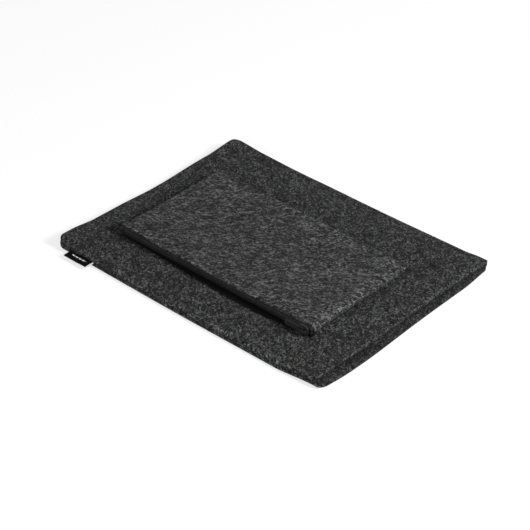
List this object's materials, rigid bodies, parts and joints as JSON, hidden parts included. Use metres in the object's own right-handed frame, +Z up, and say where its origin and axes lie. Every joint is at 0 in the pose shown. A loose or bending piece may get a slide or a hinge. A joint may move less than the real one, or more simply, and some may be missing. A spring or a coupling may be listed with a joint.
{
  "type": "laptop sleeve",
  "caption": "Flat felt laptop sleeve, open at one short end, with a separate felt zip pouch for accessories lying on top of it.",
  "frame": {"origin": "centre of the sleeve's underside, on the surface it lies on", "axes": "+Z up, +X along the long sides and out of the sleeve's mouth, -Y towards the long side with the woven label and the pouch's zip"},
  "size_m": [0.35, 0.2725, 0.0242],
  "materials": {
    "felt": "dark grey melange needled felt, dry and matt",
    "seam_thread": "black polyester sewing thread",
    "label_ribbon": "black woven satin ribbon with a plain pale band",
    "zip_tape": "black woven polyester zip tape",
    "zip_coil": "black nylon coil, slightly satin",
    "zip_metal": "black lacquered zinc, satin, worn pale at the edges"
  },
  "bodies": {
    "sleeve": {"sleeve_felt": "felt", "near_seam_thread": "seam_thread", "far_seam_thread": "seam_thread", "woven_label": "label_ribbon"},
    "pouch": {"lower_coil_cord": "zip_tape", "lower_coil_stitching": "seam_thread", "lower_tape_stitches": "seam_thread", "lower_zip_coil": "zip_coil", "lower_zip_tape": "zip_tape", "pouch_felt": "felt", "pouch_left_seam_thread": "seam_thread", "pouch_right_seam_thread": "seam_thread", "upper_coil_cord": "zip_tape", "upper_coil_stitching": "seam_thread", "upper_tape_stitches": "seam_thread", "upper_zip_coil": "zip_coil", "upper_zip_tape": "zip_tape", "zip_bottom_stop": "zip_metal", "zip_top_stops": "zip_metal"},
    "slider": {"slider_body": "zip_metal"},
    "pull_tab": {"pull_tab": "zip_metal"}
  },
  "joints": [
    {"name": "pouch_lift", "type": "slide", "parent": "sleeve", "child": "pouch", "axis": [0, 0, 1], "range_m": [0, 0.06]},
    {"name": "slider_travel", "type": "slide", "parent": "pouch", "child": "slider", "axis": [-1, 0, 0], "range_m": [0, 0.2317]},
    {"name": "pull_tab_swing", "type": "hinge", "parent": "slider", "child": "pull_tab", "pos_m": [0.117, -0.0885, 0.0177], "axis": [0, 0, 1], "range_deg": [0, 175]}
  ]
}
